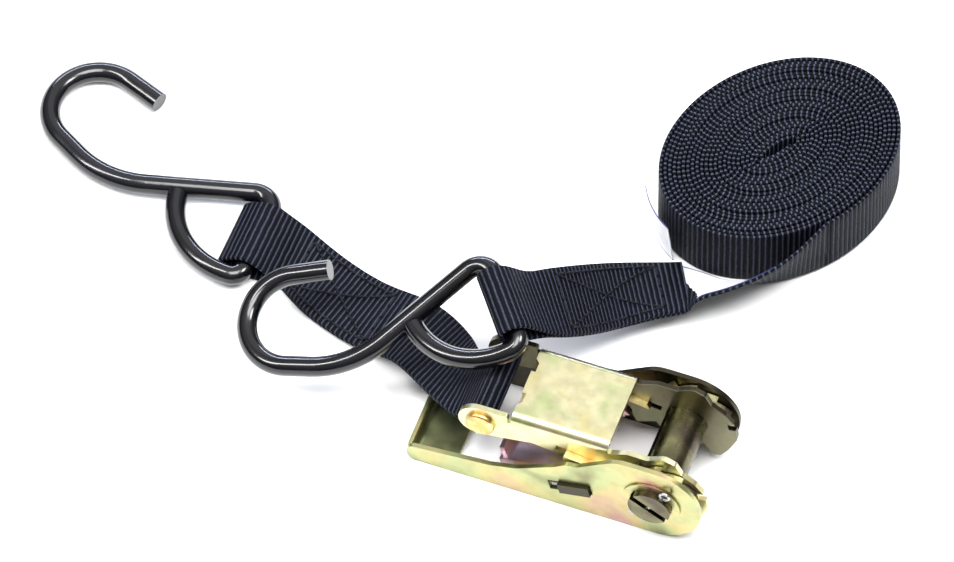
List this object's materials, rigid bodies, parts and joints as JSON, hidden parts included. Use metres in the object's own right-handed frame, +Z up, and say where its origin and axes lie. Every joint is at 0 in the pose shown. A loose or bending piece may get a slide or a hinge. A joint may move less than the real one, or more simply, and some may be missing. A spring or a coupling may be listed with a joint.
{
  "type": "ratchet strap",
  "caption": "Ratchet tie-down: a folding-handle ratchet on a short strap with an S-hook, and a long webbing strap wound into a roll whose sewn lead ends in another S-hook.",
  "frame": {"origin": "middle of the footprint, on the surface that the strap lies on", "axes": "+X along the ratchet from its strap rivet to its mandrel, +Y along the mandrel towards the wound strap, +Z up"},
  "size_m": [0.3064, 0.2042, 0.0549],
  "materials": {
    "webbing_short": "matt black polyester webbing",
    "thread_short": "black polyester thread",
    "webbing_roll": "matt black polyester webbing",
    "webbing_lead": "matt black polyester webbing",
    "thread_long": "black polyester thread",
    "label": "blank white woven label",
    "hook_coating_short": "glossy black vinyl dip over steel bar",
    "hook_coating_long": "glossy black vinyl dip over steel bar",
    "zinc_frame": "yellow zinc plate, iridescent",
    "zinc_rivet": "yellow zinc plate",
    "zinc_lock_pawl": "orange zinc plate",
    "spring_wire_lock": "bare spring wire",
    "zinc_handle": "yellow zinc plate, iridescent",
    "zinc_drive_pawl": "pinkish zinc plate",
    "spring_wire_drive": "bare spring wire",
    "zinc_mandrel_lower": "yellow zinc plate",
    "zinc_mandrel_upper": "yellow zinc plate",
    "zinc_wheel_near": "dark zinc plate",
    "zinc_wheel_far": "dark zinc plate",
    "zinc_washer_near": "yellow zinc plate",
    "zinc_washer_far": "yellow zinc plate",
    "steel_pin_near": "bright steel",
    "steel_pin_far": "bright steel"
  },
  "bodies": {
    "short_strap": {"short_strap_webbing": "webbing_short", "short_strap_stitching": "thread_short"},
    "hook_short": {"s_hook_short": "hook_coating_short"},
    "ratchet_frame": {"base_frame": "zinc_frame", "strap_rivet": "zinc_rivet", "lock_pawl_spring": "spring_wire_lock"},
    "lock_slide": {"lock_pawl": "zinc_lock_pawl"},
    "drum": {"mandrel_half_lower": "zinc_mandrel_lower", "mandrel_half_upper": "zinc_mandrel_upper", "ratchet_wheel_near": "zinc_wheel_near", "ratchet_wheel_far": "zinc_wheel_far", "washer_near": "zinc_washer_near", "washer_far": "zinc_washer_far", "cotter_pin_near": "steel_pin_near", "cotter_pin_far": "steel_pin_far"},
    "handle": {"handle_frame": "zinc_handle", "drive_pawl_spring": "spring_wire_drive"},
    "release_plate": {"drive_pawl": "zinc_drive_pawl"},
    "long_strap": {"long_strap_roll": "webbing_roll", "long_strap_lead": "webbing_lead", "long_strap_stitching": "thread_long", "label_tag": "label"},
    "hook_long": {"s_hook_long": "hook_coating_long"}
  },
  "joints": [
    {"name": "frame_swing", "type": "hinge", "parent": "short_strap", "child": "ratchet_frame", "pos_m": [0.05185, -0.0763, 0.02895], "axis": [0, -1, 0], "range_deg": [0, 8]},
    {"name": "handle_swing", "type": "hinge", "parent": "ratchet_frame", "child": "handle", "pos_m": [0.11935, -0.0763, 0.0192], "axis": [0, -1, 0], "range_deg": [0, 180]},
    {"name": "drum_spin", "type": "hinge", "parent": "ratchet_frame", "child": "drum", "pos_m": [0.11935, -0.0763, 0.0192], "axis": [0, -1, 0], "range_deg": [0, 26]},
    {"name": "lock_pawl_slide", "type": "slide", "parent": "ratchet_frame", "child": "lock_slide", "axis": [-0.9848, 0, 0.1736], "range_m": [0, 0.0034], "deforming": ["lock_pawl_spring"]},
    {"name": "drive_pawl_slide", "type": "slide", "parent": "handle", "child": "release_plate", "axis": [-0.9703, 0, -0.2419], "range_m": [0, 0.0035], "stiffness_N_per_m": 300, "springref_m": -0.004, "deforming": ["drive_pawl_spring"]},
    {"name": "hook_short_swing", "type": "hinge", "parent": "short_strap", "child": "hook_short", "pos_m": [-0.05691, -0.03235, 0.00565], "axis": [0.0279, 0.9996, 0.0005], "range_deg": [0, 100]},
    {"name": "long_strap_lift", "type": "slide", "parent": "short_strap", "child": "long_strap", "axis": [0, 0, 1], "range_m": [0, 0.12]},
    {"name": "hook_long_swing", "type": "hinge", "parent": "long_strap", "child": "hook_long", "pos_m": [0.04735, -0.0536, 0.0466], "axis": [-0.6176, 0.782, 0.084], "range_deg": [0, 100]}
  ],
  "couplings": [
    {"joint": "lock_pawl_slide", "follows": "drum_spin", "m_per_rad": 0.007215}
  ]
}
